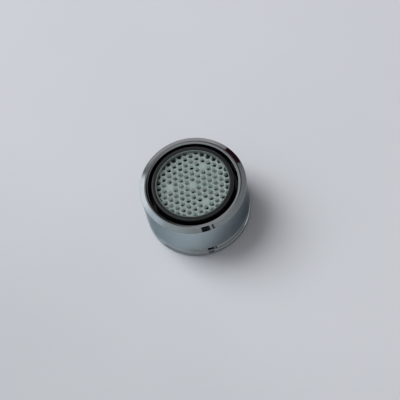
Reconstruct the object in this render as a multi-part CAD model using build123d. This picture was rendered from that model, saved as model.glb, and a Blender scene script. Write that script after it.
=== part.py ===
from build123d import *
import os
from math import cos, hypot, pi, radians, sin, sqrt, tan, acos

# Tap aerator, standing on its inlet end, outlet up.
# Millimetres; Z is the axis of the shell, z = 0 is the inlet face.

# --- shell, outside -------------------------------------------------------
SHELL_R = 12.0            # plain wall
BEVEL_Z = 12.07           # where the wall turns into the outlet bevel
BEVEL_DEG = 26.0          # rise of the bevel towards the lip
LAND_R = 10.82            # where the bevel turns into the land of the lip
LAND_DEG = 5.0            # fall of the land towards the outlet bore
LAND_Z = BEVEL_Z + (SHELL_R - LAND_R) * tan(radians(BEVEL_DEG))
REBATE_R = 11.58          # small rebate under the foot
REBATE_Z = 0.22
FOOT_R = 11.89            # narrower ring at the inlet end: upright foot
FOOT_Z = 0.80
RING_LOW_R = 11.67        # lower bevel of the ring ends here
RING_LOW_Z = 1.09
RING_R = 11.60            # almost upright between the two bevels
RING_Z = 1.56
RING_BEVEL_R = 11.16      # upper bevel runs in to the groove
RING_BEVEL_Z = 1.83
GROOVE_TOP_Z = 2.80
WALL_LOW_Z = 3.62         # lower edge of the plain wall

# --- shell, inside --------------------------------------------------------
OUTLET_R = 10.14          # bore at the outlet
OUTLET_LOW_Z = 8.8
NECK_R = 9.95             # shoulder the cartridge flange seats under
NECK_TOP_Z = 8.3
SEAT_Z = 7.0
SEAT_R = 10.38
RELIEF_LOW_Z = 4.1        # run-out behind the thread
RELIEF_TOP_Z = 5.0
RELIEF_R = 10.98
THREAD_R = 10.46          # crests of the female thread (22 x 1)
THREAD_LOW_Z = 0.6
MOUTH_R = 11.06

# --- cartridge ------------------------------------------------------------
FLANGE_R = 10.22
FLANGE_Z = 6.0
SLEEVE_R = 9.27
SLEEVE_IN_R = 8.45
SLEEVE_TOP_Z = 13.08      # stands a little above the lip
STEP_R = 8.05             # inner step that carries both stacks
STEP_LOW_Z = 7.2
STEP_TOP_Z = 9.0
WINDOW_N = 8
WINDOW_W = 3.9
WINDOW_LOW_Z = 7.5
WINDOW_TOP_Z = 8.45

WASHER_OUT_R = 10.22
WASHER_IN_R = 8.2
WASHER_LOW_Z = 4.4

INSERT_R = 8.36           # everything that sits inside the sleeve

# --- outlet honeycomb -----------------------------------------------------
PITCH = 1.485
WEB = 0.34
CELL_TURN = 22.15         # direction of a row of cells, degrees
COMB_LOW_Z = 10.86
COMB_TOP_Z = 12.16
BORDER_IN_R = 8.14
BORDER_LOW_Z = 10.3
BORDER_TOP_Z = 13.02
CELL_REACH = 5.6          # rows counted from the middle, in pitches

# --- fine grids -----------------------------------------------------------
GRID_T = 0.45
GRID_PITCH = 1.15
GRID_WEB = 0.36
GRID_RIM_R = 7.75
GRID1_Z = STEP_TOP_Z
SPACER_Z = GRID1_Z + GRID_T
SPACER_T = 0.4
GRID2_Z = SPACER_Z + SPACER_T
SPACER_IN_R = 6.35        # ledge that carries the second grid
SPACER_SEAT_R = 6.95      # recess around the second grid
GRID2_R = 6.90
GRID2_RIM_R = 6.50        # holes of the second grid are cut off here

# --- jets -----------------------------------------------------------------
JET_LOW_Z = 6.6
JET_HOLE_R = 0.45
JET_RINGS = ((4.3, 12), (6.2, 18))
POST_R = 1.6
POST_Z = 7.6
PIN_R = 0.9
PIN_Z = 8.35
TOOTH_N = 18
DEFLECTOR_R = 7.0
DEFLECTOR_T = 0.4

# --- inlet filter ---------------------------------------------------------
FILTER_RIM_LOW_Z = 6.05
FILTER_CUP_R = 7.6
FILTER_CUP_IN_R = 7.15
FILTER_LOW_Z = 4.75
FILTER_FLOOR_T = 0.45
FILTER_HOLE_R = 0.36
FILTER_PITCH = 1.15


def rounded(points):
    """Closed face in the XZ plane from (r, z) or (r, z, corner radius)."""
    pts = [(p[0], p[1], p[2] if len(p) > 2 else 0.0) for p in points]
    n = len(pts)
    ends = []
    for i in range(n):
        a, p, b = pts[i - 1], pts[i], pts[(i + 1) % n]
        if p[2] <= 0:
            ends.append(((p[0], p[1]), None, (p[0], p[1])))
            continue
        ua = (a[0] - p[0], a[1] - p[1])
        ub = (b[0] - p[0], b[1] - p[1])
        la, lb = hypot(*ua), hypot(*ub)
        ua = (ua[0] / la, ua[1] / la)
        ub = (ub[0] / lb, ub[1] / lb)
        half = acos(ua[0] * ub[0] + ua[1] * ub[1]) / 2
        d = p[2] / tan(half)
        bis = (ua[0] + ub[0], ua[1] + ub[1])
        lm = hypot(*bis)
        bis = (bis[0] / lm, bis[1] / lm)
        reach = p[2] / sin(half)
        c = (p[0] + bis[0] * reach, p[1] + bis[1] * reach)
        mid = (c[0] - bis[0] * p[2], c[1] - bis[1] * p[2])
        ends.append(((p[0] + ua[0] * d, p[1] + ua[1] * d), mid,
                     (p[0] + ub[0] * d, p[1] + ub[1] * d)))
    edges = []
    for i in range(n):
        start, mid, stop = ends[i]
        if mid is not None:
            edges.append(ThreePointArc(start, mid, stop))
        nxt = ends[(i + 1) % n][0]
        if hypot(nxt[0] - stop[0], nxt[1] - stop[1]) > 1e-6:
            edges.append(Line(stop, nxt))
    return Plane.XZ * make_face(edges)


def lathe(points):
    return revolve(rounded(points), Axis.Z)


def hex_points(pitch, reach, turn):
    """Lattice points (i, j, x, y) within reach pitches of the middle."""
    out = []
    t0, t1 = radians(turn), radians(turn + 60)
    n = int(reach) + 2
    for i in range(-2 * n, 2 * n + 1):
        for j in range(-2 * n, 2 * n + 1):
            if i * i + j * j + i * j <= reach * reach:
                out.append((i, j, pitch * (i * cos(t0) + j * cos(t1)),
                            pitch * (i * sin(t0) + j * sin(t1))))
    return out


os.makedirs("parts", exist_ok=True)


def save(shape, name):
    export_step(shape, "parts/" + name + ".step")


# --- housing --------------------------------------------------------------
housing = lathe([
    (MOUTH_R, 0),
    (REBATE_R, 0, 0.04),
    (REBATE_R, REBATE_Z, 0.04),
    (FOOT_R, REBATE_Z, 0.04),
    (FOOT_R, FOOT_Z, 0.05),
    (RING_LOW_R, RING_LOW_Z, 0.06),
    (RING_R, RING_Z, 0.08),
    (RING_BEVEL_R, RING_BEVEL_Z, 0.05),
    (RING_BEVEL_R, GROOVE_TOP_Z, 0.1),
    (SHELL_R, WALL_LOW_Z, 0.1),
    (SHELL_R, BEVEL_Z, 0.1),
    (LAND_R, LAND_Z, 0.7),
    (OUTLET_R, LAND_Z - (LAND_R - OUTLET_R) * tan(radians(LAND_DEG)), 0.2),
    (OUTLET_R, OUTLET_LOW_Z),
    (NECK_R, NECK_TOP_Z),
    (NECK_R, SEAT_Z),
    (SEAT_R, SEAT_Z),
    (SEAT_R, RELIEF_TOP_Z),
    (RELIEF_R, RELIEF_TOP_Z),
    (RELIEF_R, RELIEF_LOW_Z),
    (THREAD_R, RELIEF_LOW_Z),
    (THREAD_R, THREAD_LOW_Z),
])
save(housing, "housing")

# --- sealing washer -------------------------------------------------------
sealing_washer = lathe([
    (WASHER_IN_R, WASHER_LOW_Z, 0.15),
    (WASHER_OUT_R, WASHER_LOW_Z, 0.15),
    (WASHER_OUT_R, FLANGE_Z, 0.15),
    (WASHER_IN_R, FLANGE_Z, 0.15),
])
save(sealing_washer, "sealing_washer")

# --- cartridge sleeve -----------------------------------------------------
sleeve = lathe([
    (SLEEVE_IN_R, FLANGE_Z),
    (FLANGE_R, FLANGE_Z, 0.1),
    (FLANGE_R, SEAT_Z, 0.1),
    (SLEEVE_R, SEAT_Z),
    (SLEEVE_R, SLEEVE_TOP_Z, 0.28),
    (SLEEVE_IN_R, SLEEVE_TOP_Z, 0.12),
    (SLEEVE_IN_R, STEP_TOP_Z),
    (STEP_R, STEP_TOP_Z),
    (STEP_R, STEP_LOW_Z),
    (SLEEVE_IN_R, STEP_LOW_Z),
])
window_h = WINDOW_TOP_Z - WINDOW_LOW_Z
for k in range(WINDOW_N):
    sleeve -= (Rot(0, 0, 360 * k / WINDOW_N)
               * Pos((STEP_R + SLEEVE_R) / 2, 0, WINDOW_LOW_Z + window_h / 2)
               * Box(2.6, WINDOW_W, window_h))
save(sleeve, "cartridge_sleeve")

# --- outlet honeycomb -----------------------------------------------------
closed = {(0, 0), (2, 2), (-4, 2), (2, -4)}
cell_r = (PITCH - WEB) / sqrt(3)
cells = []
for i, j, x, y in hex_points(PITCH, CELL_REACH, CELL_TURN):
    if (i, j) in closed:
        continue
    cells.append(Pos(x, y) * Rot(0, 0, CELL_TURN + 30)
                 * RegularPolygon(cell_r, 6))
comb_face = Circle(BORDER_IN_R + 0.05) - cells
comb = Pos(0, 0, COMB_LOW_Z) * extrude(comb_face, COMB_TOP_Z - COMB_LOW_Z)
border = lathe([
    (BORDER_IN_R, BORDER_LOW_Z),
    (INSERT_R, BORDER_LOW_Z),
    (INSERT_R, BORDER_TOP_Z, 0.08),
    (BORDER_IN_R, BORDER_TOP_Z, 0.08),
])
outlet_honeycomb = border + comb
save(outlet_honeycomb, "outlet_honeycomb")


# --- fine grids and their spacer ------------------------------------------
def grid(turn, z, outer, rim, cut_off):
    holes = []
    side = GRID_PITCH - GRID_WEB
    n = int(rim / GRID_PITCH) + 1
    for i in range(-n, n + 1):
        for j in range(-n, n + 1):
            x, y = i * GRID_PITCH, j * GRID_PITCH
            whole = hypot(abs(x) + side / 2, abs(y) + side / 2) <= rim
            if whole:
                holes.append(Pos(x, y) * Rectangle(side, side))
            elif cut_off and hypot(x, y) < rim - 0.1:
                holes.append((Pos(x, y) * Rectangle(side, side)) & Circle(rim))
    face = Circle(outer) - holes
    return (Pos(0, 0, z) * Rot(0, 0, turn) * extrude(face, GRID_T))


mixing_grid = grid(12, GRID1_Z, INSERT_R, GRID_RIM_R, False)
save(mixing_grid, "mixing_grid")

second_grid = grid(57, GRID2_Z, GRID2_R, GRID2_RIM_R, True)
save(second_grid, "second_grid")

grid_spacer = lathe([
    (SPACER_IN_R, SPACER_Z),
    (INSERT_R, SPACER_Z),
    (INSERT_R, BORDER_LOW_Z),
    (SPACER_SEAT_R, BORDER_LOW_Z),
    (SPACER_SEAT_R, GRID2_Z),
    (SPACER_IN_R, GRID2_Z),
])
save(grid_spacer, "grid_spacer")

# --- jet plate ------------------------------------------------------------
jet_plate = lathe([
    (0, JET_LOW_Z),
    (INSERT_R, JET_LOW_Z),
    (INSERT_R, STEP_LOW_Z),
    (POST_R, STEP_LOW_Z),
    (POST_R, POST_Z),
    (PIN_R, POST_Z),
    (PIN_R, PIN_Z),
    (0, PIN_Z),
])
for ring_r, count in JET_RINGS:
    for k in range(count):
        a = 2 * pi * k / count
        jet_plate -= (Pos(ring_r * cos(a), ring_r * sin(a),
                          (JET_LOW_Z + STEP_LOW_Z) / 2)
                      * Cylinder(JET_HOLE_R, 2 * (STEP_LOW_Z - JET_LOW_Z)))
save(jet_plate, "jet_plate")

# --- jet deflector --------------------------------------------------------
disc = Circle(DEFLECTOR_R) - Circle(PIN_R + 0.05)
for k in range(TOOTH_N):
    a = 360 * (k + 0.5) / TOOTH_N
    disc -= Rot(0, 0, a) * Pos(DEFLECTOR_R - 0.6, 0) * Rectangle(2.4, 1.2)
for k in range(12):
    a = 360 * (k + 0.5) / 12
    disc -= Rot(0, 0, a) * Pos(3.7, 0) * Rectangle(1.7, 0.9)
jet_deflector = Pos(0, 0, POST_Z) * extrude(disc, DEFLECTOR_T)
save(jet_deflector, "jet_deflector")

# --- inlet filter ---------------------------------------------------------
filter_body = lathe([
    (0, FILTER_LOW_Z),
    (FILTER_CUP_R, FILTER_LOW_Z, 0.3),
    (FILTER_CUP_R, FILTER_RIM_LOW_Z),
    (INSERT_R, FILTER_RIM_LOW_Z),
    (INSERT_R, JET_LOW_Z),
    (FILTER_CUP_IN_R, JET_LOW_Z),
    (FILTER_CUP_IN_R, FILTER_LOW_Z + FILTER_FLOOR_T),
    (0, FILTER_LOW_Z + FILTER_FLOOR_T),
])
punches = []
for i, j, x, y in hex_points(FILTER_PITCH, 6.4, 10):
    if hypot(x, y) + FILTER_HOLE_R < FILTER_CUP_IN_R - 0.25:
        punches.append(Pos(x, y) * Circle(FILTER_HOLE_R))
punch_face = Sketch() + punches
filter_body -= (Pos(0, 0, FILTER_LOW_Z - 0.2)
                * extrude(punch_face, FILTER_FLOOR_T + 0.4))
save(filter_body, "inlet_filter")
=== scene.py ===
import math

import bpy
from mathutils import Matrix, Vector
from mathutils.geometry import delaunay_2d_cdt


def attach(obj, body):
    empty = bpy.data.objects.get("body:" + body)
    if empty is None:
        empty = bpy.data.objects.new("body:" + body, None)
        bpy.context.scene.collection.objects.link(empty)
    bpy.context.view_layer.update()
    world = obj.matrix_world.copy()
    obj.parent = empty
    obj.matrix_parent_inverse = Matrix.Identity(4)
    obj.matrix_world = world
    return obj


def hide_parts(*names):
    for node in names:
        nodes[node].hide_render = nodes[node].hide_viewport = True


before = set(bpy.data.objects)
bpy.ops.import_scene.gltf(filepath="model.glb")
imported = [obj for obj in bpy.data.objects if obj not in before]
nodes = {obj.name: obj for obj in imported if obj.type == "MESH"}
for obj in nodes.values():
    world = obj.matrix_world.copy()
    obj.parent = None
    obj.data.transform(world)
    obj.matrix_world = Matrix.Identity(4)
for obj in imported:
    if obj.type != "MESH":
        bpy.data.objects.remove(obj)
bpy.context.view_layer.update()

MM = 0.001
TAU = 2 * math.pi

# ---------------------------------------------------------------- dimensions
SHELL_R, BEVEL_Z, BEVEL_DEG, LAND_R, LAND_DEG = 12.0, 12.07, 26.0, 10.82, 5.0
FOOT_R, FOOT_Z, RING_LOW_R, RING_LOW_Z = 11.89, 0.80, 11.67, 1.09
RING_R, RING_Z, RING_BEVEL_R, RING_BEVEL_Z = 11.60, 1.56, 11.16, 1.83
REBATE_R, REBATE_Z = 11.58, 0.22
GROOVE_TOP_Z, WALL_LOW_Z = 2.80, 3.62
OUTLET_R, OUTLET_LOW_Z, NECK_R, NECK_TOP_Z = 10.14, 8.8, 9.95, 8.3
SEAT_Z, SEAT_R = 7.0, 10.38
RELIEF_LOW_Z, RELIEF_TOP_Z, RELIEF_R = 4.1, 5.0, 10.98
THREAD_R, THREAD_LOW_Z, MOUTH_R = 10.46, 0.6, 11.06
THREAD_PITCH, THREAD_DEPTH = 1.0, 0.52

FLANGE_R, FLANGE_Z = 10.22, 6.0
SLEEVE_R, SLEEVE_IN_R, SLEEVE_TOP_Z = 9.27, 8.45, 13.08
STEP_R, STEP_LOW_Z, STEP_TOP_Z = 8.05, 7.2, 9.0
WINDOW_N, WINDOW_LOW_Z, WINDOW_TOP_Z = 8, 7.5, 8.45

INSERT_R = 8.36
PITCH, WEB, CELL_TURN = 1.485, 0.34, 22.15
COMB_LOW_Z, COMB_TOP_Z = 10.86, 12.16
BORDER_IN_R, BORDER_LOW_Z, BORDER_TOP_Z = 8.14, 10.3, 13.02
CELL_REACH = 5.6
CLOSED = {(0, 0), (2, 2), (-4, 2), (2, -4)}


# ------------------------------------------------------------------- helpers
def rounded_rings(points, step_deg=6.0):
    """Closed counter-clockwise (r, z, corner radius) outline -> [(r, z, nr, nz)]."""
    out = []
    n = len(points)
    for i in range(n):
        a, p, b = points[i - 1], points[i], points[(i + 1) % n]
        rad = p[2]
        da = Vector((p[0] - a[0], p[1] - a[1])).normalized()
        db = Vector((b[0] - p[0], b[1] - p[1])).normalized()
        na, nb = Vector((da.y, -da.x)), Vector((db.y, -db.x))
        cross = da.x * db.y - da.y * db.x
        turn = math.atan2(cross, da.dot(db))
        half = (math.pi - abs(turn)) / 2
        bis = (db - da).normalized()
        centre = Vector((p[0], p[1])) + bis * (rad / math.sin(half))
        side = 1.0 if turn > 0 else -1.0
        count = max(2, int(math.ceil(math.degrees(abs(turn)) / step_deg)))
        for k in range(count + 1):
            ang = turn * k / count
            c, s = math.cos(ang), math.sin(ang)
            nv = Vector((na.x * c - na.y * s, na.x * s + na.y * c))
            q = centre + nv * (rad * side)
            out.append((q.x, q.y, nv.x, nv.y))
    return out


def make_object(name, verts, faces, normals=None):
    mesh = bpy.data.meshes.new(name)
    mesh.from_pydata([tuple(c * MM for c in v) for v in verts], [], faces)
    mesh.polygons.foreach_set("use_smooth", [True] * len(mesh.polygons))
    if normals is not None:
        mesh.normals_split_custom_set_from_vertices(normals)
    mesh.update()
    obj = bpy.data.objects.new(name, mesh)
    bpy.context.scene.collection.objects.link(obj)
    return obj


class Solid:
    """Collects vertices, their normals and faces of one piece, in millimetres."""

    def __init__(self):
        self.verts, self.normals, self.faces = [], [], []

    def add(self, co, no):
        self.verts.append(co)
        length = math.sqrt(sum(c * c for c in no)) or 1.0
        self.normals.append(tuple(c / length for c in no))
        return len(self.verts) - 1

    def ring(self, r, z, nr, nz, segments):
        ids = []
        for j in range(segments):
            t = TAU * j / segments
            c, s = math.cos(t), math.sin(t)
            ids.append(self.add((r * c, r * s, z), (nr * c, nr * s, nz)))
        return ids

    def skin(self, low, high, skip=()):
        n = len(low)
        for j in range(n):
            if j in skip:
                continue
            k = (j + 1) % n
            self.faces.append((low[j], low[k], high[k], high[j]))

    def build(self, name):
        return make_object(name, self.verts, self.faces, self.normals)


# ------------------------------------------------------------ chromed shell
def thread_wave(phase):
    t = phase % 1.0
    if t < 0.25:
        return 0.0
    if t < 0.5625:
        return (t - 0.25) / 0.3125
    if t < 0.6875:
        return 1.0
    return (1.0 - t) / 0.3125


def thread_depth(theta, z):
    fade = min(1.0, max(0.0, (z - THREAD_LOW_Z - 0.02) / 0.35))
    fade *= min(1.0, max(0.0, (RELIEF_LOW_Z - 0.04 - z) / 0.12))
    return THREAD_DEPTH * fade * thread_wave(z / THREAD_PITCH - theta / TAU)


def build_housing():
    seg = 192
    solid = Solid()
    land_z = BEVEL_Z + (SHELL_R - LAND_R) * math.tan(math.radians(BEVEL_DEG))
    outline = [
        (MOUTH_R, 0.0, 0.05),
        (REBATE_R, 0.0, 0.04),
        (REBATE_R, REBATE_Z, 0.04),
        (FOOT_R, REBATE_Z, 0.04),
        (FOOT_R, FOOT_Z, 0.05),
        (RING_LOW_R, RING_LOW_Z, 0.06),
        (RING_R, RING_Z, 0.08),
        (RING_BEVEL_R, RING_BEVEL_Z, 0.05),
        (RING_BEVEL_R, GROOVE_TOP_Z, 0.1),
        (SHELL_R, WALL_LOW_Z, 0.1),
        (SHELL_R, BEVEL_Z, 0.1),
        (LAND_R, land_z, 0.7),
        (OUTLET_R, land_z - (LAND_R - OUTLET_R) * math.tan(math.radians(LAND_DEG)), 0.2),
        (OUTLET_R, OUTLET_LOW_Z, 0.05),
        (NECK_R, NECK_TOP_Z, 0.05),
        (NECK_R, SEAT_Z, 0.04),
        (SEAT_R, SEAT_Z, 0.04),
        (SEAT_R, RELIEF_TOP_Z, 0.04),
        (RELIEF_R, RELIEF_TOP_Z, 0.05),
        (RELIEF_R, RELIEF_LOW_Z, 0.05),
        (THREAD_R, RELIEF_LOW_Z, 0.04),
        (THREAD_R, THREAD_LOW_Z, 0.04),
    ]
    rings = rounded_rings(outline)
    rows = []
    for k, (r, z, nr, nz) in enumerate(rings):
        rows.append(solid.ring(r, z, nr, nz, seg))
        nxt = rings[(k + 1) % len(rings)]
        on_thread = abs(r - THREAD_R) < 1e-4 and abs(nxt[0] - THREAD_R) < 1e-4 and z - nxt[1] > 2.0
        if on_thread:
            count = 110
            for m in range(1, count):
                zz = z + (nxt[1] - z) * m / count
                ids = []
                for j in range(seg):
                    t = TAU * j / seg
                    c, s = math.cos(t), math.sin(t)
                    rr = THREAD_R + thread_depth(t, zz)
                    slope = (thread_depth(t, zz + 0.03) - thread_depth(t, zz - 0.03)) / 0.06
                    ids.append(solid.add((rr * c, rr * s, zz), (-c, -s, slope)))
                rows.append(ids)
    for k in range(len(rows)):
        solid.skin(rows[k], rows[(k + 1) % len(rows)])
    return solid.build("shell")


# --------------------------------------------------------- cartridge sleeve
def build_sleeve():
    seg = 192
    solid = Solid()
    outline = [
        (SLEEVE_IN_R, FLANGE_Z, 0.04),
        (FLANGE_R, FLANGE_Z, 0.1),
        (FLANGE_R, SEAT_Z, 0.1),
        (SLEEVE_R, SEAT_Z, 0.04),
        (SLEEVE_R, SLEEVE_TOP_Z, 0.36),
        (SLEEVE_IN_R, SLEEVE_TOP_Z, 0.12),
        (SLEEVE_IN_R, STEP_TOP_Z, 0.04),
        (STEP_R, STEP_TOP_Z, 0.04),
        (STEP_R, STEP_LOW_Z, 0.04),
        (SLEEVE_IN_R, STEP_LOW_Z, 0.04),
    ]
    rings = rounded_rings(outline)
    half = 7
    centre_step = seg // WINDOW_N
    gaps = set()
    for w in range(WINDOW_N):
        for d in range(-half, half):
            gaps.add((w * centre_step + d) % seg)
    rows, skips = [], []
    marks = {}
    for k, (r, z, nr, nz) in enumerate(rings):
        rows.append(solid.ring(r, z, nr, nz, seg))
        skips.append(())
        nxt = rings[(k + 1) % len(rings)]
        up = abs(r - SLEEVE_R) < 1e-4 and abs(nxt[0] - SLEEVE_R) < 1e-4 and nxt[1] - z > 2.0
        down = abs(r - STEP_R) < 1e-4 and abs(nxt[0] - STEP_R) < 1e-4 and z - nxt[1] > 1.0
        if up or down:
            levels = (WINDOW_LOW_Z, WINDOW_TOP_Z) if up else (WINDOW_TOP_Z, WINDOW_LOW_Z)
            for idx, lev in enumerate(levels):
                rows.append(solid.ring(r, lev, nr, nz, seg))
                skips.append(gaps if idx == 0 else ())
                marks[("out" if up else "in", lev)] = len(rows) - 1
    for k in range(len(rows)):
        solid.skin(rows[k], rows[(k + 1) % len(rows)], skips[k])

    def polar(r, j, z):
        t = TAU * j / seg
        return (r * math.cos(t), r * math.sin(t), z)

    for w in range(WINDOW_N):
        j0, j1 = w * centre_step - half, w * centre_step + half
        for lev, nz in ((WINDOW_LOW_Z, 1.0), (WINDOW_TOP_Z, -1.0)):
            inner = [solid.add(polar(STEP_R, j, lev), (0, 0, nz)) for j in range(j0, j1 + 1)]
            outer = [solid.add(polar(SLEEVE_R, j, lev), (0, 0, nz)) for j in range(j0, j1 + 1)]
            for m in range(len(inner) - 1):
                quad = (inner[m], outer[m], outer[m + 1], inner[m + 1])
                solid.faces.append(quad if nz > 0 else quad[::-1])
        for j, way in ((j0, 1.0), (j1, -1.0)):
            t = TAU * j / seg
            no = (-math.sin(t) * way, math.cos(t) * way, 0)
            ids = [solid.add(polar(r, j, z), no) for r, z in (
                (STEP_R, WINDOW_LOW_Z), (STEP_R, WINDOW_TOP_Z),
                (SLEEVE_R, WINDOW_TOP_Z), (SLEEVE_R, WINDOW_LOW_Z))]
            solid.faces.append(tuple(ids) if way > 0 else tuple(ids[::-1]))
    return solid.build("sleeve")


# -------------------------------------------------------- outlet honeycomb
def lattice(pitch, reach, turn_deg):
    t0, t1 = math.radians(turn_deg), math.radians(turn_deg + 60)
    n = int(reach) + 2
    out = []
    for i in range(-2 * n, 2 * n + 1):
        for j in range(-2 * n, 2 * n + 1):
            if i * i + j * j + i * j <= reach * reach:
                out.append((i, j, pitch * (i * math.cos(t0) + j * math.cos(t1)),
                            pitch * (i * math.sin(t0) + j * math.sin(t1))))
    return out


def build_honeycomb():
    solid = Solid()
    flat = math.radians(CELL_TURN)
    apothem = (PITCH - WEB) / 2
    rim = BORDER_IN_R + 0.02      # cells end just inside the border's wall
    plate_r = BORDER_IN_R + 0.16  # the plate itself is rooted in the border
    dirs = 42

    def reach_to_cell(q, ang, c, ap):
        """Distance from q along ang to the edge of the rounded hexagon about c."""
        lo, hi = 0.0, 2.2
        ca, sa = math.cos(ang), math.sin(ang)
        for _ in range(26):
            mid = (lo + hi) / 2
            dx, dy = q[0] + ca * mid - c[0], q[1] + sa * mid - c[1]
            t = math.atan2(dy, dx)
            a = ((t - flat + math.pi / 6) % (math.pi / 3)) - math.pi / 6
            edge = ap * (1 + 0.55 * (1 / math.cos(a) - 1))
            if dx * dx + dy * dy < edge * edge:
                lo = mid
            else:
                hi = mid
        return lo

    def reach_to_circle(q, ang, radius):
        ca, sa = math.cos(ang), math.sin(ang)
        b = q[0] * ca + q[1] * sa
        c = q[0] * q[0] + q[1] * q[1] - radius * radius
        return -b + math.sqrt(max(0.0, b * b - c))

    # level: height, growth of the opening, normal (towards the opening, up)
    levels = [
        (COMB_TOP_Z, 0.075, 0.0, 1.0),
        (COMB_TOP_Z - 0.012, 0.045, 0.38, 0.92),
        (COMB_TOP_Z - 0.034, 0.02, 0.71, 0.71),
        (COMB_TOP_Z - 0.075, 0.0, 0.97, 0.24),
        (COMB_TOP_Z - 0.3, 0.0, 1.0, 0.03),
        (COMB_LOW_Z + 0.05, -0.03, 1.0, 0.0),
        (COMB_LOW_Z, 0.02, 0.0, -1.0),
    ]
    top_loops, low_loops = [], []
    for i, j, x, y in lattice(PITCH, CELL_REACH, CELL_TURN):
        if (i, j) in CLOSED:
            continue
        dist = math.hypot(x, y)
        q = (x, y)
        if dist + apothem > rim:
            inner = dist - apothem + 0.06
            mid_r = (inner + rim) / 2 if dist > rim - 0.3 else dist
            q = (x / dist * mid_r, y / dist * mid_r)
        loops = []
        for z, grow, nh, nz in levels:
            ids = []
            for k in range(dirs):
                ang = TAU * k / dirs
                d_cell = reach_to_cell(q, ang, (x, y), apothem + grow)
                d_rim = reach_to_circle(q, ang, rim)
                d = min(d_cell, d_rim)
                px, py = q[0] + math.cos(ang) * d, q[1] + math.sin(ang) * d
                ids.append(solid.add((px, py, z), (-math.cos(ang) * nh, -math.sin(ang) * nh, nz)))
            loops.append(ids)
        for up, down in zip(loops[:-1], loops[1:]):
            for k in range(dirs):
                m = (k + 1) % dirs
                solid.faces.append((up[k], up[m], down[m], down[k]))
        top_loops.append(loops[0])
        low_loops.append(loops[-1])

    def plate(loops, z, nz):
        """Flat web face between the openings and the plate's edge."""
        count = 240
        rim_ids = []
        for k in range(count):
            t = TAU * k / count
            rim_ids.append(solid.add((plate_r * math.cos(t), plate_r * math.sin(t), z), (0, 0, nz)))
        index = list(rim_ids)
        edges = [(k, (k + 1) % count) for k in range(count)]
        for ids in loops:
            base = len(index)
            index.extend(ids)
            edges.extend((base + k, base + (k + 1) % len(ids)) for k in range(len(ids)))
        pts = [Vector(solid.verts[v][:2]) for v in index]
        vout, _, fout, vmap, _, _ = delaunay_2d_cdt(pts, edges, [], 0, 1e-6)
        back = [index[src[0]] if src else None for src in vmap]
        for n, b in enumerate(back):
            if b is None:
                back[n] = solid.add((vout[n].x, vout[n].y, z), (0, 0, nz))
        owner = {}
        for n, ids in enumerate(loops):
            for v in ids:
                owner[v] = n
        for f in fout:
            tri = [back[v] for v in f]
            owners = {owner.get(v) for v in tri}
            if len(owners) == 1 and None not in owners:
                continue              # inside an opening
            a, b, c = (solid.verts[v] for v in tri)
            area = (b[0] - a[0]) * (c[1] - a[1]) - (b[1] - a[1]) * (c[0] - a[0])
            if abs(area) < 1e-9:
                continue
            if (area > 0) != (nz > 0):
                tri = tri[::-1]
            solid.faces.append(tuple(tri))
        return rim_ids

    top_rim = plate(top_loops, COMB_TOP_Z, 1.0)
    low_rim = plate(low_loops, COMB_LOW_Z, -1.0)
    solid.skin(low_rim, top_rim)

    rings = rounded_rings([
        (BORDER_IN_R, BORDER_LOW_Z, 0.04),
        (INSERT_R, BORDER_LOW_Z, 0.04),
        (INSERT_R, BORDER_TOP_Z, 0.1),
        (BORDER_IN_R, BORDER_TOP_Z, 0.1),
    ], 10)
    rows = [solid.ring(*ring, 192) for ring in rings]
    for k in range(len(rows)):
        solid.skin(rows[k], rows[(k + 1) % len(rows)])
    return solid.build("comb")


# ---------------------------------------------------------------- materials
def new_material(name):
    m = bpy.data.materials.new(name)
    m.use_nodes = True
    nt = m.node_tree
    return m, nt, nt.nodes["Principled BSDF"]


def noise(nt, scale, detail=4.0, rough=0.55):
    tex = nt.nodes.new("ShaderNodeTexCoord")
    n = nt.nodes.new("ShaderNodeTexNoise")
    n.inputs["Scale"].default_value = scale
    n.inputs["Detail"].default_value = detail
    n.inputs["Roughness"].default_value = rough
    nt.links.new(tex.outputs["Object"], n.inputs["Vector"])
    return n


def ramp(nt, source, stops):
    r = nt.nodes.new("ShaderNodeValToRGB")
    el = r.color_ramp.elements
    while len(el) < len(stops):
        el.new(0.5)
    for e, (pos, col) in zip(el, stops):
        e.position = pos
        e.color = (*col, 1.0) if len(col) == 3 else col
    nt.links.new(source, r.inputs["Fac"])
    return r


def spread(nt, source, lo, hi):
    m = nt.nodes.new("ShaderNodeMapRange")
    m.inputs["From Min"].default_value = 0.3
    m.inputs["From Max"].default_value = 0.7
    m.inputs["To Min"].default_value = lo
    m.inputs["To Max"].default_value = hi
    nt.links.new(source, m.inputs["Value"])
    return m


def bump(nt, bsdf, source, strength, distance):
    b = nt.nodes.new("ShaderNodeBump")
    b.inputs["Strength"].default_value = strength
    b.inputs["Distance"].default_value = distance
    nt.links.new(source, b.inputs["Height"])
    nt.links.new(b.outputs["Normal"], bsdf.inputs["Normal"])


def chrome():
    m, nt, b = new_material("chrome")
    n = noise(nt, 900, 5)
    r = ramp(nt, n.outputs["Fac"], [(0.3, (0.46, 0.525, 0.55)), (0.7, (0.50, 0.565, 0.59))])
    nt.links.new(r.outputs["Color"], b.inputs["Base Color"])
    b.inputs["Metallic"].default_value = 1.0
    rough = spread(nt, noise(nt, 2600, 6).outputs["Fac"], 0.03, 0.075)
    nt.links.new(rough.outputs["Result"], b.inputs["Roughness"])
    bump(nt, b, noise(nt, 420, 2).outputs["Fac"], 0.05, 0.0002)
    b.inputs["Specular Tint"].default_value = (0.42, 0.47, 0.49, 1.0)   # darker towards grazing
    return m


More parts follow.
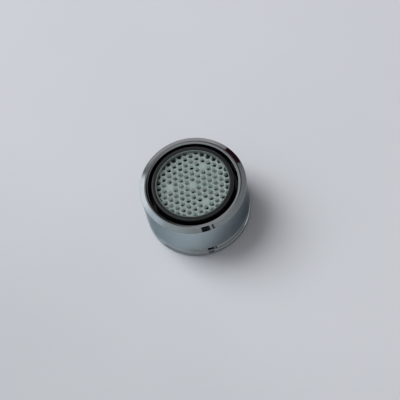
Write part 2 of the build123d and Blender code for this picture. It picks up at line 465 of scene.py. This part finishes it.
def dark_plastic():
    m, nt, b = new_material("dark_plastic")
    n = noise(nt, 1400, 4)
    r = ramp(nt, n.outputs["Fac"], [(0.3, (0.006, 0.0085, 0.009)), (0.7, (0.011, 0.0145, 0.015))])
    nt.links.new(r.outputs["Color"], b.inputs["Base Color"])
    rough = spread(nt, noise(nt, 3000, 5).outputs["Fac"], 0.11, 0.19)
    nt.links.new(rough.outputs["Result"], b.inputs["Roughness"])
    b.inputs["Specular IOR Level"].default_value = 0.95
    bump(nt, b, noise(nt, 5000, 3).outputs["Fac"], 0.06, 0.0001)
    return m


def rubber():
    m, nt, b = new_material("rubber")
    n = noise(nt, 1100, 5)
    r = ramp(nt, n.outputs["Fac"], [(0.3, (0.014, 0.014, 0.015)), (0.7, (0.028, 0.028, 0.029))])
    nt.links.new(r.outputs["Color"], b.inputs["Base Color"])
    rough = spread(nt, noise(nt, 2200, 5).outputs["Fac"], 0.6, 0.8)
    nt.links.new(rough.outputs["Result"], b.inputs["Roughness"])
    bump(nt, b, noise(nt, 3600, 4).outputs["Fac"], 0.15, 0.0001)
    return m


def pale_green():
    """Milky plastic. The cell walls are painted paler than the upper face, as painted light for light
    shining through the thin webs; the border's raised rim and the cell walls against the black sleeve are
    painted darker, as painted shade.
    """
    m, nt, b = new_material("pale_green")
    tex = nt.nodes.new("ShaderNodeTexCoord")
    split = nt.nodes.new("ShaderNodeSeparateXYZ")
    nt.links.new(tex.outputs["Object"], split.inputs["Vector"])
    depth = nt.nodes.new("ShaderNodeMapRange")
    depth.inputs["From Min"].default_value = (COMB_TOP_Z - 0.10) * MM
    depth.inputs["From Max"].default_value = (COMB_TOP_Z - 0.02) * MM
    nt.links.new(split.outputs["Z"], depth.inputs["Value"])
    n = noise(nt, 600, 4)
    # painted light: the cell walls are painted much paler than the upper face, for light shining through the
    # thin translucent webs
    wall_painted_light = ramp(nt, n.outputs["Fac"], [(0.3, (0.74, 0.81, 0.79)), (0.7, (0.79, 0.865, 0.845))])
    face = ramp(nt, n.outputs["Fac"], [(0.3, (0.295, 0.375, 0.36)), (0.7, (0.34, 0.42, 0.405))])
    milky = ramp(nt, n.outputs["Fac"], [(0.3, (0.375, 0.465, 0.455)), (0.7, (0.425, 0.515, 0.50))])
    # painted shade: colour for the border's raised rim
    rim = ramp(nt, n.outputs["Fac"], [(0.3, (0.15, 0.19, 0.185)), (0.7, (0.20, 0.245, 0.235))])
    # painted shade: colour for the walls against the black sleeve
    backed_shade = ramp(nt, n.outputs["Fac"], [(0.3, (0.075, 0.095, 0.09)), (0.7, (0.10, 0.125, 0.12))])

    def blend(factor, low, high):
        x = nt.nodes.new("ShaderNodeMix")
        x.data_type = "RGBA"
        nt.links.new(factor, x.inputs[0])
        nt.links.new(low, x.inputs[6])
        nt.links.new(high, x.inputs[7])
        return x.outputs[2]

    nearest = None
    for i, j, x, y in lattice(PITCH, CELL_REACH, CELL_TURN):
        if (i, j) not in CLOSED:
            continue
        away = nt.nodes.new("ShaderNodeVectorMath")
        away.operation = "DISTANCE"
        nt.links.new(tex.outputs["Object"], away.inputs[0])
        away.inputs[1].default_value = (x * MM, y * MM, COMB_TOP_Z * MM)
        if nearest is None:
            nearest = away.outputs["Value"]
        else:
            least = nt.nodes.new("ShaderNodeMath")
            least.operation = "MINIMUM"
            nt.links.new(nearest, least.inputs[0])
            nt.links.new(away.outputs["Value"], least.inputs[1])
            nearest = least.outputs["Value"]
    thick = nt.nodes.new("ShaderNodeMapRange")
    thick.interpolation_type = "SMOOTHSTEP"
    thick.inputs["From Min"].default_value = 0.95 * MM
    thick.inputs["From Max"].default_value = 0.45 * MM
    nt.links.new(nearest, thick.inputs["Value"])
    # mask for the painted shade on the border above the plate
    rim_shade_mask = nt.nodes.new("ShaderNodeMapRange")
    rim_shade_mask.inputs["From Min"].default_value = (COMB_TOP_Z + 0.05) * MM
    rim_shade_mask.inputs["From Max"].default_value = (BORDER_TOP_Z - 0.15) * MM
    nt.links.new(split.outputs["Z"], rim_shade_mask.inputs["Value"])
    flat = nt.nodes.new("ShaderNodeCombineXYZ")
    nt.links.new(split.outputs["X"], flat.inputs["X"])
    nt.links.new(split.outputs["Y"], flat.inputs["Y"])
    out = nt.nodes.new("ShaderNodeVectorMath")
    out.operation = "LENGTH"
    nt.links.new(flat.outputs["Vector"], out.inputs[0])
    edge = nt.nodes.new("ShaderNodeMapRange")     # painted shade: cell walls at the border, against the black sleeve, are painted dark
    edge.inputs["From Min"].default_value = (BORDER_IN_R - 0.16) * MM
    edge.inputs["From Max"].default_value = (BORDER_IN_R - 0.04) * MM
    nt.links.new(out.outputs["Value"], edge.inputs["Value"])
    low = blend(edge.outputs["Result"], wall_painted_light.outputs["Color"], backed_shade.outputs["Color"])
    top = blend(thick.outputs["Result"], face.outputs["Color"], milky.outputs["Color"])
    top = blend(rim_shade_mask.outputs["Result"], top, rim.outputs["Color"])
    nt.links.new(blend(depth.outputs["Result"], low, top), b.inputs["Base Color"])
    rough = spread(nt, noise(nt, 2500, 5).outputs["Fac"], 0.38, 0.52)
    nt.links.new(rough.outputs["Result"], b.inputs["Roughness"])
    b.inputs["Subsurface Weight"].default_value = 0.6
    b.inputs["Subsurface Radius"].default_value = (0.9, 1.0, 0.95)
    b.inputs["Subsurface Scale"].default_value = 0.0006
    bump(nt, b, noise(nt, 4200, 3).outputs["Fac"], 0.06, 0.0001)
    return m


def white_plastic(name, dark, light):
    m, nt, b = new_material(name)
    n = noise(nt, 800, 4)
    r = ramp(nt, n.outputs["Fac"], [(0.3, dark), (0.7, light)])
    nt.links.new(r.outputs["Color"], b.inputs["Base Color"])
    rough = spread(nt, noise(nt, 2600, 4).outputs["Fac"], 0.42, 0.58)
    nt.links.new(rough.outputs["Result"], b.inputs["Roughness"])
    bump(nt, b, noise(nt, 4000, 3).outputs["Fac"], 0.06, 0.0001)
    return m


def paint(obj, material):
    obj.data.materials.clear()
    obj.data.materials.append(material)


CHROME, DARK, RUBBER, GREEN = chrome(), dark_plastic(), rubber(), pale_green()
WHITE = white_plastic("white_plastic", (0.60, 0.63, 0.62), (0.70, 0.73, 0.72))
GRID = white_plastic("grid_plastic", (0.60, 0.66, 0.64), (0.68, 0.74, 0.72))

# ------------------------------------------------------------------- pieces
for piece, node, slot_name, material in (
    (build_housing(), "housing", "chrome_shell", CHROME),
    (build_sleeve(), "cartridge_sleeve", "dark_plastic", DARK),
    (build_honeycomb(), "outlet_honeycomb", "pale_green_plastic", GREEN),
):
    paint(piece, material)
    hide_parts(node)
    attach(piece, "root")

paint(nodes["sealing_washer"], RUBBER)
for n in ("inlet_filter", "jet_plate", "jet_deflector"):
    paint(nodes[n], WHITE)
paint(nodes["second_grid"], GRID)
for n in ("mixing_grid", "grid_spacer"):
    paint(nodes[n], DARK)


# -------------------------------------------------------------------- stage
def card(name, centre, width, height, colour, aim=(0, 0, 0.008), roll_deg=0.0):
    """Flat sheet facing the object, out of the camera's sight."""
    c, a = Vector(centre), Vector(aim)
    fwd = (a - c).normalized()
    side = fwd.cross(Vector((0, 0, 1))).normalized()
    up = side.cross(fwd).normalized()
    turn = math.radians(roll_deg)
    side, up = side * math.cos(turn) + up * math.sin(turn), up * math.cos(turn) - side * math.sin(turn)
    w, h = side * (width / 2), up * (height / 2)
    mesh = bpy.data.meshes.new(name)
    mesh.from_pydata([c - w - h, c + w - h, c + w + h, c - w + h], [], [(0, 1, 2, 3)])
    obj = bpy.data.objects.new(name, mesh)
    bpy.context.scene.collection.objects.link(obj)
    m, nt, b = new_material(name + "_mat")
    b.inputs["Base Color"].default_value = (*colour, 1)
    b.inputs["Roughness"].default_value = 0.8
    b.inputs["Specular IOR Level"].default_value = 0.0
    mesh.materials.append(m)
    obj.visible_camera = False
    obj.visible_shadow = False
    obj.visible_diffuse = False
    return obj


def direction(az_deg, el_deg):
    """Unit vector, azimuth from +X towards +Y."""
    a, e = math.radians(az_deg), math.radians(el_deg)
    return Vector((math.cos(a) * math.cos(e), math.sin(a) * math.cos(e), math.sin(e)))


floor_mesh = bpy.data.meshes.new("floor")
S = 1.2
floor_mesh.from_pydata([(-S, -S, 0), (S, -S, 0), (S, S, 0), (-S, S, 0)], [], [(0, 1, 2, 3)])
floor = bpy.data.objects.new("floor", floor_mesh)
bpy.context.scene.collection.objects.link(floor)
fm, fnt, fb = new_material("floor_cloth")
# painted shade: the cloth is painted darker towards the near left (-X, -Y) and paler elsewhere, standing in
# for light falling off across the floor
floor_coord = fnt.nodes.new("ShaderNodeTexCoord")
slant = fnt.nodes.new("ShaderNodeVectorMath")
slant.operation = "DOT_PRODUCT"
fnt.links.new(floor_coord.outputs["Object"], slant.inputs[0])
slant.inputs[1].default_value = (0.75, 0.66, 0.0)
floor_shade_ramp = fnt.nodes.new("ShaderNodeMapRange")
floor_shade_ramp.interpolation_type = "SMOOTHSTEP"
floor_shade_ramp.inputs["From Min"].default_value = -0.064
floor_shade_ramp.inputs["From Max"].default_value = 0.006
fnt.links.new(slant.outputs["Value"], floor_shade_ramp.inputs["Value"])
weave = noise(fnt, 14, 3)
dim = ramp(fnt, weave.outputs["Fac"], [(0.3, (0.655, 0.69, 0.73)), (0.7, (0.69, 0.725, 0.765))])
pale = ramp(fnt, weave.outputs["Fac"], [(0.3, (0.735, 0.77, 0.815)), (0.7, (0.77, 0.805, 0.85))])
cloth = fnt.nodes.new("ShaderNodeMix")
cloth.data_type = "RGBA"
fnt.links.new(floor_shade_ramp.outputs["Result"], cloth.inputs[0])
fnt.links.new(dim.outputs["Color"], cloth.inputs[6])
fnt.links.new(pale.outputs["Color"], cloth.inputs[7])
fnt.links.new(cloth.outputs[2], fb.inputs["Base Color"])
fb.inputs["Roughness"].default_value = 0.95
fb.inputs["Specular IOR Level"].default_value = 0.1
floor_mesh.materials.append(fm)

# what the chrome mirrors: the camera's own dark body in front, a dark red
# thing far right
def sheet(name, x, el, dist, width, height, colour, az=270.0):
    """Card x metres to the right of the line of sight at that height."""
    base = direction(az, el) * dist
    across = Vector((-math.sin(math.radians(az)), math.cos(math.radians(az)), 0))
    return card(name, base + across * x + Vector((0, 0, 0.012)), width, height, colour, aim=(0, 0, 0.012))


sheet("camera_body", 0.012, 66, 0.40, 0.060, 0.060, (0.004, 0.004, 0.004))
sheet("camera_strap", 0.063, 66, 0.40, 0.013, 0.060, (0.008, 0.008, 0.008))
sheet("camera_grip", 0.0225, 49.0, 0.40, 0.060, 0.064, (0.004, 0.004, 0.004))
sheet("camera_cord", 0.071, 49.5, 0.40, 0.013, 0.050, (0.008, 0.008, 0.008))
sheet("camera_hand", 0.026, 12, 0.42, 0.062, 0.13, (0.05, 0.05, 0.055))
sheet("dark_red_thing", 0.0, 24, 0.60, 0.165, 0.27, (0.045, 0.010, 0.016), az=51)

# room: pale horizon and dim middle on the far side, evenly dim on the near
# side, paler overhead, and one broad soft window low on the left
world = bpy.data.worlds.new("room")
bpy.context.scene.world = world
world.use_nodes = True
wn, wl = world.node_tree.nodes, world.node_tree.links
bg = wn["Background"]
coord = wn.new("ShaderNodeTexCoord")
split = wn.new("ShaderNodeSeparateXYZ")
wl.new(coord.outputs["Generated"], split.inputs["Vector"])


def sky(stops):
    r = wn.new("ShaderNodeValToRGB")
    el = r.color_ramp.elements
    while len(el) < len(stops):
        el.new(0.5)
    for k, (deg, value, tint) in enumerate(stops):
        el[k].position = max(0.0, math.sin(math.radians(deg)))
        el[k].color = (value * tint[0], value * tint[1], value * tint[2], 1.0)
    wl.new(split.outputs["Z"], r.inputs["Fac"])
    return r


PLAIN, COOL, WARM = (0.88, 0.83, 0.83), (0.85, 0.83, 0.84), (0.92, 0.825, 0.83)
far_sky = sky([(0, 0.56, WARM), (13, 0.55, WARM), (20, 0.19, WARM), (34, 0.13, WARM), (44, 0.14, WARM), (52, 0.25, WARM), (66, 0.28, WARM), (72, 0.50, WARM), (80, 0.52, PLAIN), (90, 0.50, PLAIN)])
near_sky = sky([(0, 0.30, PLAIN), (15, 0.29, PLAIN), (22, 0.16, PLAIN), (36, 0.14, PLAIN), (48, 0.28, PLAIN), (56, 0.32, PLAIN), (64, 0.37, COOL), (76, 0.48, COOL), (90, 0.48, PLAIN)])


def smooth(source, lo, hi):
    m = wn.new("ShaderNodeMapRange")
    m.interpolation_type = "SMOOTHSTEP"
    m.inputs["From Min"].default_value = lo
    m.inputs["From Max"].default_value = hi
    wl.new(source, m.inputs["Value"])
    return m.outputs["Result"]


def over(factor, below, above):
    m = wn.new("ShaderNodeMix")
    m.data_type = "RGBA"
    wl.new(factor, m.inputs[0])
    wl.new(below, m.inputs[6])
    if isinstance(above, tuple):
        m.inputs[7].default_value = (*above, 1.0)
    else:
        wl.new(above, m.inputs[7])
    return m.outputs[2]


def times(a, b):
    m = wn.new("ShaderNodeMath")
    m.operation = "MULTIPLY"
    wl.new(a, m.inputs[0])
    wl.new(b, m.inputs[1])
    return m.outputs["Value"]


def beside(az, el, inner, outer):
    """1 within inner degrees of a direction, fading to 0 at outer degrees."""
    dot = wn.new("ShaderNodeVectorMath")
    dot.operation = "DOT_PRODUCT"
    wl.new(coord.outputs["Generated"], dot.inputs[0])
    dot.inputs[1].default_value = direction(az, el)
    return smooth(dot.outputs["Value"], math.cos(math.radians(outer)), math.cos(math.radians(inner)))


room = over(smooth(split.outputs["Y"], 0.05, 0.55), near_sky.outputs["Color"], far_sky.outputs["Color"])
room = over(beside(14, 38, 12, 32), room, (0.235, 0.225, 0.232))
room = over(beside(58, 52, 10, 26), room, (0.066, 0.059, 0.060))
room = over(beside(75, 57.5, 4, 9), room, (0.018, 0.016, 0.016))
room = over(beside(103, 53.5, 5, 13), room, (0.43, 0.40, 0.40))
room = over(beside(196, 52, 10, 30), room, (0.41, 0.425, 0.44))
room = over(beside(170, 42, 4, 20), room, (0.645, 0.675, 0.74))
angle = wn.new("ShaderNodeMath")
angle.operation = "ARCTAN2"
wl.new(split.outputs["Y"], angle.inputs[0])
wl.new(split.outputs["X"], angle.inputs[1])
turned = wn.new("ShaderNodeMath")
turned.operation = "ABSOLUTE"
shift = wn.new("ShaderNodeMath")
shift.operation = "SUBTRACT"
wl.new(angle.outputs["Value"], shift.inputs[0])
shift.inputs[1].default_value = math.radians(152)
wl.new(shift.outputs["Value"], turned.inputs[0])
across = smooth(turned.outputs["Value"], math.radians(29), math.radians(20))
height = times(smooth(split.outputs["Z"], math.sin(math.radians(43)), math.sin(math.radians(35))),
               smooth(split.outputs["Z"], math.sin(math.radians(8)), math.sin(math.radians(20))))
room = over(times(across, height), room, (1.115, 1.075, 1.09))
wl.new(room, bg.inputs["Color"])
bg.inputs["Strength"].default_value = 1.0


def area(name, az, el, dist, w, h, power, colour=(1, 1, 1)):
    data = bpy.data.lights.new(name, "AREA")
    data.shape = "RECTANGLE"
    data.size, data.size_y = w, h
    data.energy = power
    data.color = colour
    obj = bpy.data.objects.new(name, data)
    bpy.context.scene.collection.objects.link(obj)
    pos = direction(az, el) * dist
    obj.location = pos
    obj.rotation_euler = (-pos).to_track_quat("-Z", "Y").to_euler()
    return obj


softbox = area("softbox", 137, 52, 1.4, 0.80, 1.15, 13.4)
softbox.visible_glossy = False

# ------------------------------------------------------------------- camera
ELEV, ROLL, DIST, SCALE_PX = 62.5, -13.8, 390.0, 4.4855
TARGET = Vector((0, 0, 12.16)) * MM
PLACE = (193.0, 184.9)     # where the target falls in the 400 x 400 picture
e, r = math.radians(ELEV), math.radians(ROLL)
fwd = Vector((0, math.cos(e), -math.sin(e)))
right = Vector((1, 0, 0))
up = right.cross(fwd)
img_right = right * math.cos(r) + up * math.sin(r)
img_up = right * -math.sin(r) + up * math.cos(r)
focal_px = SCALE_PX * DIST
cam_pos = TARGET - fwd * DIST * MM
aim = (fwd + img_right * ((200 - PLACE[0]) / focal_px) - img_up * ((200 - PLACE[1]) / focal_px)).normalized()
x_axis = (img_right - aim * img_right.dot(aim)).normalized()
y_axis = x_axis.cross(aim) * -1
y_axis = (-aim).cross(x_axis).normalized()
cam_data = bpy.data.cameras.new("camera")
cam_data.sensor_width = 36.0
cam_data.sensor_fit = "HORIZONTAL"
cam_data.lens = focal_px / 400 * 36.0
cam_data.clip_start = 0.01
cam = bpy.data.objects.new("camera", cam_data)
bpy.context.scene.collection.objects.link(cam)
rot = Matrix((x_axis, y_axis, -aim)).transposed()
cam.matrix_world = Matrix.Translation(cam_pos) @ rot.to_4x4()
bpy.context.scene.camera = cam
bpy.context.scene.view_settings.view_transform = "Standard"
